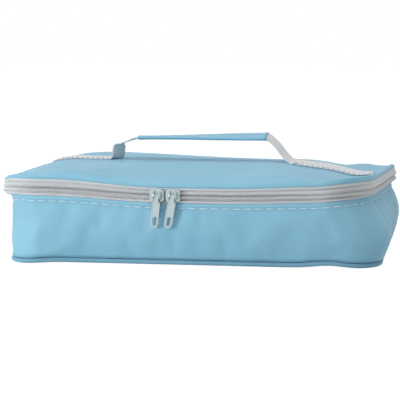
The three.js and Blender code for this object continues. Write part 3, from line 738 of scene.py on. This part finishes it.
def make_liner():
    top = PANEL_TOP - 1.2 * MM
    heights = np.linspace(top, LINER_FLOOR + 3 * MM, 12)
    levels = [(LINER_OUT + wall_draw(z), z) for z in heights]
    foot = LINER_OUT + wall_draw(LINER_FLOOR)
    levels += [(foot + 0.6 * MM, LINER_FLOOR + 1.4 * MM), (foot + 2.0 * MM, LINER_FLOOR + 0.6 * MM)]
    levels += [(foot + 6 * MM, LINER_FLOOR + 0.5 * MM), (foot + 12 * MM, LINER_FLOOR + 0.5 * MM)]

    def settle(points):
        moved = settle_base(points, INNER_CLIMB)
        floor = 1 - smooth(points[:, 2], LINER_FLOOR + MM, LINER_FLOOR + 3 * MM)
        moved[:, 2] += floor * (0.4 * MM + crumple(points, 0.35 * MM))
        wall = smooth(points[:, 2], LINER_FLOOR + 2 * MM, LINER_FLOOR + 10 * MM)
        wall = wall * (1 - smooth(points[:, 2], top - 9 * MM, top - 3 * MM))
        inwards = points[:, :2] / np.linalg.norm(points[:, :2], axis=1)[:, None]
        moved[:, :2] -= inwards * (wall * (0.4 * MM + crumple(points, 0.5 * MM)))[:, None]
        return moved

    liner = make_dish("tub_liner", levels, liner_film, 5 * MM, settle)
    thicken(liner, FILM_THICKNESS)
    stand_for(liner, "base", "base_liner")


def make_base_binding():
    top = PANEL_TOP - 0.3 * MM
    low = TAPE_LOW
    outer, inner, thick = 2.4 * MM, 7.1 * MM, 0.6 * MM
    rise = 1.2 * MM
    half_turn = np.linspace(0, math.pi, 9)

    def arch(left, right, rise_here):
        return [(left + (right - left) * (1 - math.cos(a)) / 2, top - rise + rise_here * math.sin(a))
                for a in half_turn]

    crest = arch(outer, inner, rise)
    under = arch(outer + thick, inner - thick, rise - thick)[::-1]
    section = [(outer, low)] + crest + [(inner, low), (inner - thick, low)] + under + [(outer + thick, low)]
    rings = settle_base(around(around_bag, refined(section, 2 * MM)), INNER_CLIMB)
    tape = make_sweep("tub_seam_binding", rings, binding_cloth, looped=True)
    sides = [(inner, low + 1.4 * MM), (inner + MM, low + 1.4 * MM)]
    line_rings = settle_base(around(around_bag, sides), INNER_CLIMB)
    loop = np.append(np.arange(COLUMNS), 0)
    line = line_rings[loop, 0]
    facing = line_rings[loop, 1] - line
    facing /= np.linalg.norm(facing, axis=1)[:, None]
    stitches = make_stitches("tub_binding_stitches", line, facing, BINDING_STITCH, pale_thread)
    stitches.parent = tape
    stand_for(tape, "base", "base_seam_binding")


# Zip
def chain_parting(distance):
    """How far a chain half stands off the middle line, where the sliders' wedges part it."""
    place, _ = plan(distance)
    on_front = place[..., 1] < -HALF_DEPTH + 0.3 * MM
    reach = np.abs(place[..., 0] - SLIDER_MEET)
    return np.where(on_front, CHAIN_OPENING * (1 - smooth(reach, 4.4 * MM, 9.6 * MM)), 0)


def tape_section(side, end, at_front):
    """A tape from its edge behind the coil to its sewn end.

    On the front it dips beside the coil and puffs out at the seam. Elsewhere it lies close behind the coil.
    """
    reach = np.linspace(TAPE_SETBACK, abs(end - ZIP_HEIGHT), 24)
    if at_front:
        place, depth, height = LOWER_FORM if side < 0 else UPPER_FORM
        puffed = np.clip((reach - place) / (PUFF_END - place), 0, 1)
        front = TAPE_LAP - height * np.sin(math.pi * puffed) + depth * hump(reach, place, 0.8 * MM)
    else:
        front = TAPE_LAP - 1.5 * MM * (1 - smooth(reach, 3.5 * MM, 7 * MM))
    heights = ZIP_HEIGHT + side * reach
    face = list(zip(front, heights))
    return face + [(offset + TAPE_THICKNESS, height) for offset, height in face[::-1]]


def tape_rings(side, end):
    """A tape along the zip, parted with its chain half at the sliders."""
    rings = around(along_zip, tape_section(side, end, False))
    formed = around(along_zip, tape_section(side, end, True))
    rings += (formed - rings) * smooth(-rings[..., 1:2], 60 * MM, 95 * MM)
    loose = 1 - smooth(np.abs(rings[..., 2] - ZIP_HEIGHT), MM, 5 * MM)
    rings[..., 2] += side * chain_parting(along_zip)[:, None] * loose
    return rings


def make_zip_tapes():
    lower = make_sweep("lower_tape", settle_base(tape_rings(-1, TAPE_LOW)), tape_cloth)
    stand_for(lower, "base", "lower_zip_tape")
    upper = make_sweep("upper_tape", settle_lid(tape_rings(1, TAPE_HIGH - 1.3 * MM)), tape_cloth)
    stand_for(upper, "lid", "upper_zip_tape")


def make_coil(name, side, settle):
    """One chain half: a filament wound in flat loops, whose heads mesh with those of the other half."""
    turns = round(ZIP_LENGTH / COIL_PITCH) - 1
    per_turn = 8
    turn = np.arange(turns * per_turn + 1) / per_turn
    distance = (turn + (0.25 if side > 0 else 0.75)) * COIL_PITCH
    phase = 2 * math.pi * turn
    heads = -0.25 * MM + COIL_RADIUS
    reach = (COIL_HALF_WIDTH - COIL_RADIUS - heads) / 2
    height = heads + reach + reach * np.cos(phase) + chain_parting(distance)
    slimmer = 0.5 + 0.5 * (1 + np.cos(phase)) / 2
    depth = (COIL_DEPTH - COIL_RADIUS) * np.sin(phase) * slimmer - HEAD_DIP * ((1 - np.cos(phase)) / 2) ** 1.5
    place, normal = plan(distance)
    path = np.zeros((len(turn), 3))
    path[:, :2] = place + normal * depth[:, None]
    path[:, 2] = ZIP_HEIGHT + side * height
    path = settle(path)
    forward = np.stack([-normal[:, 1], normal[:, 0], np.zeros(len(turn))], axis=1)
    return make_sweep(name, tube_rings(path, COIL_RADIUS, 5, forward), coil_filament)


def make_coils():
    lower = make_coil("lower_coil", -1, settle_base)
    stand_for(lower, "base", "lower_zip_coil")
    upper = make_coil("upper_coil", 1, settle_lid)
    stand_for(upper, "lid", "upper_zip_coil")


def make_casting(name, node, body, lean=0.0):
    """A casting of the frame with its edges broken, as tumbling leaves them. A pull may lean on its pin."""
    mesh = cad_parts[node].data.copy()
    welded = bmesh.new()
    welded.from_mesh(mesh)
    bmesh.ops.remove_doubles(welded, verts=welded.verts, dist=1e-6)
    for vertex in welded.verts:
        below = max(0.0, ZIP_HEIGHT - NECK_DROP - vertex.co.z)
        vertex.co.x -= math.tan(lean) * below
    welded.to_mesh(mesh)
    welded.free()
    mesh.materials.clear()
    mesh.materials.append(zinc_plate)
    mesh.shade_smooth()
    mesh.set_sharp_from_angle(angle=SHARP_ANGLE)
    casting = bpy.data.objects.new(name, mesh)
    bpy.context.scene.collection.objects.link(casting)
    broken = casting.modifiers.new("broken_edges", "BEVEL")
    broken.width = EDGE_BREAK
    broken.segments = 2
    broken.limit_method = "ANGLE"
    broken.angle_limit = SHARP_ANGLE
    flat_faces = casting.modifiers.new("even_flat_faces", "WEIGHTED_NORMAL")
    flat_faces.keep_sharp = True
    stand_for(casting, body, node)


# Lid
def make_lid_cover():
    levels = [
        (2.0 * MM, LID_EDGE + 0.5 * MM), (1.1 * MM, LID_EDGE - 0.3 * MM), (0.5 * MM, LID_EDGE - 0.6 * MM),
        (0.0, LID_EDGE - 0.3 * MM), (-0.2 * MM, LID_EDGE + 0.4 * MM), (-0.1 * MM, LID_EDGE + 1.2 * MM),
    ]
    turned = len(levels) * COLUMNS
    levels += [(offset * MM, LIP_TOP) for offset in (0.5, 1.0, 1.8, 3.0, 4.6, 6.8, 9.5, 13, 17, 21, 26)]

    def settle(points):
        points = points.copy()
        points[turned:, 2] = lid_height(points[turned:, 0], points[turned:, 1])
        return settle_lid(points)

    cover = make_dish("lid_cover", levels, shell_cloth, 4.5 * MM, settle)
    sewn = np.zeros(len(cover.data.vertices), bool)
    sewn[:turned + COLUMNS] = True
    swell(cover, sewn, slack=0.006, pressure=0.8, outwards=0.7 * MM, inwards=0.5 * MM)
    points = [vertex.co for vertex in cover.data.vertices]
    surface = BVHTree.FromPolygons(points, [face.vertices for face in cover.data.polygons])
    thicken(cover, CLOTH_THICKNESS)
    stand_for(cover, "lid", "lid_top_panel")
    return surface


def make_lid_inside():
    def shaped(depth, creases):
        def settle(points):
            points = points.copy()
            points[:, 2] = lid_height(points[:, 0], points[:, 1]) - depth
            points = settle_lid(points)
            points[:, 2] -= creases * (1 + crumple(points, 1.0))
            return points
        return settle

    rim = [(offset * MM, LIP_TOP) for offset in (8, 10, 13, 17, 21, 26)]
    padding = make_dish("lid_padding", rim, pad_foam, 8 * MM, shaped(1.5 * MM, 0))
    thicken(padding, 3.6 * MM)
    stand_for(padding, "lid", "lid_foam")
    rim = [(offset * MM, LIP_TOP) for offset in (6.2, 8, 10, 13, 17, 21, 26)]
    liner = make_dish("lid_liner_film", rim, liner_film, 5 * MM, shaped(5.6 * MM, 0.35 * MM))
    thicken(liner, FILM_THICKNESS)
    stand_for(liner, "lid", "lid_liner")
    low, high = LID_EDGE, LID_EDGE + 0.7 * MM
    corners = [(2.5 * MM, low), (2.5 * MM, high), (10 * MM, high - 0.4 * MM), (10 * MM, low - 1.5 * MM)]
    section = refined(corners, 1.5 * MM)
    binding = make_sweep("lid_seam_tape", settle_lid(around(around_bag, section)), binding_cloth, looped=True)
    stand_for(binding, "lid", "lid_seam_binding")


def make_hinge():
    half = HALF_WIDTH - CORNER - 0.3 * MM
    xs = np.linspace(-half, half, 80)
    heights = np.linspace(TAPE_LOW, TAPE_HIGH, 15)
    back = HALF_DEPTH - TAPE_LAP
    front = back - TAPE_THICKNESS
    belly = 0.5 * MM * hump(heights, ZIP_HEIGHT, 4 * MM)
    outer = np.stack([back + belly, heights], axis=1)
    inner = np.stack([front + belly, heights], axis=1)[::-1]
    section = np.concatenate([outer, inner])
    rings = np.zeros((len(xs), len(section), 3))
    rings[..., 0] = xs[:, None]
    rings[..., 1:] = section
    rings = settle_lid(rings)
    hinge = make_sweep("rear_hinge_cloth", rings, shell_cloth)
    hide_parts("rear_hinge_strip")
    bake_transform(hinge)


# Handle
def band_section(width, thickness, count, flatness=6):
    """Half of a flat band's section with rounded edges, then the other half: (across, through) points."""
    across = np.linspace(-1, 1, count)
    edge = np.sqrt(np.maximum(1 - np.abs(across) ** flatness, 0)) * 0.75 + 0.25
    top = np.stack([across * width / 2, edge * thickness / 2], axis=1)
    return np.concatenate([top, top[::-1] * [1, -1]])


def make_sewn_strap(name, node, side, lid_surface):
    end = STRAP_ENDS[side]
    xs = np.linspace(STRAP_FOLD, end, 48)
    taper = 1 - 0.14 * smooth(xs, end - 3 * MM, end)
    section = band_section(WEBBING_WIDTH, WEBBING_THICKNESS, 11)
    rings = np.zeros((len(xs), len(section), 3))
    rings[..., 0] = side * xs[:, None]
    rings[..., 1] = section[:, 0] * taper[:, None]
    for ring in rings:
        for point, (_, through) in zip(ring, section):
            hit = lid_surface.ray_cast(Vector((point[0], point[1], 0.2)), Vector((0, 0, -1)))[0]
            point[2] = hit.z + WEBBING_THICKNESS / 2 + 0.05 * MM + through
    strap = make_sweep(name, rings, webbing_cloth)
    middle = len(section) // 2
    top = rings[:, :middle]
    up = np.tile([0.0, 0.0, 1.0], (len(xs), 1))
    front_line = 0.3 * top[:, 0] + 0.7 * top[:, 1]
    front_way = np.tile([0.0, -0.45, 0.9], (len(xs), 1))
    rear_line = top[:, middle - 2]
    # The front row's dark thread is painted shade for the shadow under the strap's front edge. The rear row
    # is pale thread.
    front_row = make_stitches(
        f"{name}_front_stitches", front_line, front_way, STRAP_FRONT_STITCH, painted_shade_thread)
    rear_row = make_stitches(f"{name}_rear_stitches", rear_line, up, STRAP_REAR_STITCH, pale_thread)
    front_row.parent = strap
    rear_row.parent = strap
    stand_for(strap, "lid", node)
    return rings[0].mean(axis=0)


def grip_roll(x):
    """Turn of the grip towards the front. Its left end hangs back, and its right end shows its top."""
    return math.radians(-4) + math.radians(9) * smooth(x, GRIP_LOW.x, GRIP_HIGH.x)


def grip_height(x):
    """Height of the grip's middle line, which is a little higher at its right end."""
    share = (x - GRIP_LOW.x) / (GRIP_HIGH.x - GRIP_LOW.x)
    return (GRIP_LOW.z + GRIP_HIGH.z) / 2 + (2.0 * share - 1.2) * MM


def banded(path, section, turn):
    """Rings of a flat band along a path in the XZ plane, turned about the path."""
    forward = np.gradient(path, axis=0)
    forward /= np.linalg.norm(forward, axis=1)[:, None]
    across = np.broadcast_to([0.0, 1.0, 0.0], forward.shape)
    through = np.cross(forward, across)
    cos, sin = np.cos(turn)[:, None], np.sin(turn)[:, None]
    wide, thick = across * cos + through * sin, through * cos - across * sin
    return path[:, None] + wide[:, None] * section[None, :, :1] + thick[:, None] * section[None, :, 1:]


def make_free_strap(name, node, side, start, stops, twist, twist_end):
    """Webbing from the fold up to the grip. It is twisted up to the share twist_end of its length."""
    grip_end = GRIP_LOW.x if side < 0 else GRIP_HIGH.x
    grip_z = grip_height(grip_end)
    tucked = grip_end - side * 6 * MM
    route = [(start[0], 0, start[2])]
    route += [(x * MM, 0, start[2] + lift * MM) for x, lift in stops]
    route += [(grip_end, 0, grip_z), (tucked, 0, grip_height(tucked))]
    path = spline(route, 60)
    share = np.linspace(0, 1, len(path))
    roll = grip_roll(np.array(grip_end)) * side * -1
    twisted = smooth(share, 0, 0.12) * (1 - smooth(share, 0.7 * twist_end, twist_end))
    turn = twist * twisted + roll * smooth(share, 0.6, 1.0)
    section = band_section(WEBBING_WIDTH, WEBBING_THICKNESS, 11)
    strap = make_sweep(name, banded(path, section, turn), webbing_cloth)
    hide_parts(node)
    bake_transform(strap)


def make_grip():
    xs = np.linspace(GRIP_LOW.x + 2.2 * MM, GRIP_HIGH.x, 60)
    path = np.stack([xs, np.zeros_like(xs), grip_height(xs)], axis=1)
    section = band_section(WEBBING_WIDTH - MM, WEBBING_THICKNESS, 11)
    core = make_sweep("grip_core_webbing", banded(path[3:-3], section, grip_roll(xs[3:-3])), webbing_cloth)
    stand_for(core, "handle", "grip_webbing")
    thick = 3.3 * MM + 1.3 * MM * smooth(xs, GRIP_LOW.x, GRIP_HIGH.x)
    share = (xs - xs[0]) / (xs[-1] - xs[0])
    mouth = 1 + 0.12 * (hump(share, 0, 0.03) + hump(share, 1, 0.03))
    outer = np.array([band_section(GRIP_WIDTH, thickness, 19, 3) for thickness in thick * mouth])
    inner = outer * SLEEVE_HOLLOW
    turn = grip_roll(xs)

    def placed(section):
        wide = np.stack([np.zeros_like(turn), np.cos(turn), np.sin(turn)], axis=1)
        up = np.stack([np.zeros_like(turn), -np.sin(turn), np.cos(turn)], axis=1)
        return path[:, None] + wide[:, None] * section[..., :1] + up[:, None] * section[..., 1:]

    rings = np.concatenate([placed(outer), placed(inner)[::-1]])
    sleeve = make_sweep("grip_sleeve_cloth", rings, shell_cloth, looped=True)
    stand_for(sleeve, "handle", "grip_sleeve")


make_side_panel()
make_bottom()
make_padding()
make_liner()
make_base_binding()
make_zip_tapes()
make_coils()
make_casting("left_slider", "left_slider_body", "left_slider")
make_casting("left_pull", "left_pull_tab", "left_pull", math.radians(3))
make_casting("right_slider", "right_slider_body", "right_slider")
make_casting("right_pull", "right_pull_tab", "right_pull", math.radians(8))
lid_surface = make_lid_cover()
make_lid_inside()
make_hinge()
left_fold = make_sewn_strap("left_sewn_webbing", "left_strap_sewn", -1, lid_surface)
right_fold = make_sewn_strap("right_sewn_webbing", "right_strap_sewn", 1, lid_surface)
make_free_strap("left_free_webbing", "left_strap_free", -1, left_fold,
                [(-72.0, 0.5), (-70.6, 3.0), (-70.2, 8.0), (-69.0, 11.2), (-66.4, 12.8), (-60.5, 14.8)],
                math.radians(-17), 0.6)
make_free_strap("right_free_webbing", "right_strap_free", 1, right_fold,
                [(71.5, 1.2), (66.5, 6.0), (61.0, 13.0)], math.radians(-8), 1.0)
make_grip()


# Floor, light and camera
def make_floor():
    mesh = bpy.data.meshes.new("floor")
    reach = 6.0
    corners = [(-reach, -reach, 0), (reach, -reach, 0), (reach, reach, 0), (-reach, reach, 0)]
    mesh.from_pydata(corners, [], [(0, 1, 2, 3)])
    floor = bpy.data.objects.new("floor", mesh)
    bpy.context.scene.collection.objects.link(floor)
    floor.location.z = -0.2 * MM
    material, tree, shader = start_material("studio_paper", Roughness=0.9)
    shader.inputs["Base Color"].default_value = linear("dedede")
    shader.inputs["Specular IOR Level"].default_value = 0.1
    glow = add_node(tree, "Emission", {"Color": linear("ffffff"), "Strength": 1.2})
    path = add_node(tree, "LightPath", {})
    rays = {0: path.outputs["Is Camera Ray"], 1: path.outputs["Is Glossy Ray"]}
    seen = add_node(tree, "Math", rays, operation="MAXIMUM")
    share = add_node(tree, "Math", {0: seen.outputs[0], 1: 0.8}, operation="MULTIPLY")
    mixed = add_node(tree, "MixShader", {0: share.outputs[0], 1: shader.outputs[0], 2: glow.outputs[0]})
    tree.links.new(mixed.outputs[0], tree.nodes["Material Output"].inputs["Surface"])
    mesh.materials.append(material)


def make_light(name, place, target, size, power, spread=180):
    light = bpy.data.lights.new(name, "AREA")
    light.shape = "DISK"
    light.size = size
    light.energy = power
    light.spread = math.radians(spread)
    lamp = bpy.data.objects.new(name, light)
    lamp.location = place
    lamp.rotation_euler = (Vector(target) - Vector(place)).to_track_quat("-Z", "Y").to_euler()
    bpy.context.scene.collection.objects.link(lamp)


def make_world():
    world = bpy.data.worlds.new("studio")
    bpy.context.scene.world = world
    world.use_nodes = True
    tree = world.node_tree
    path = add_node(tree, "LightPath", {})
    mirrored = add_node(tree, "Math", {0: path.outputs["Is Glossy Ray"], 1: 0.8}, operation="MULTIPLY")
    rays = {0: path.outputs["Is Camera Ray"], 1: mirrored.outputs[0]}
    shown = add_node(tree, "Math", rays, operation="MAXIMUM")
    strength = add_node(tree, "MapRange", {0: shown.outputs[0], 3: 0.45, 4: 1.0})
    background = tree.nodes["Background"]
    background.inputs["Color"].default_value = (1, 1, 1, 1)
    tree.links.new(strength.outputs[0], background.inputs["Strength"])


def make_camera():
    camera = bpy.data.cameras.new("photo_view")
    camera.sensor_width = 36
    camera.lens = 144
    camera.clip_end = 20
    view = bpy.data.objects.new("photo_view", camera)
    view.location = (0.2064, -1.2836, 0.1825)
    target = Vector((-0.0028, -0.0005, 0.0404))
    view.rotation_euler = (target - view.location).to_track_quat("-Z", "Y").to_euler()
    bpy.context.scene.collection.objects.link(view)
    bpy.context.scene.camera = view


make_floor()
make_light("key", (-0.9, -0.85, 0.2), (-0.08, -0.1, 0.03), 0.3, 0.21, spread=30)
make_light("overhead", (-0.1, -0.3, 1.6), (0, 0, 0.05), 2.2, 11.8)
make_world()
make_camera()
bpy.context.scene.view_settings.view_transform = "Standard"
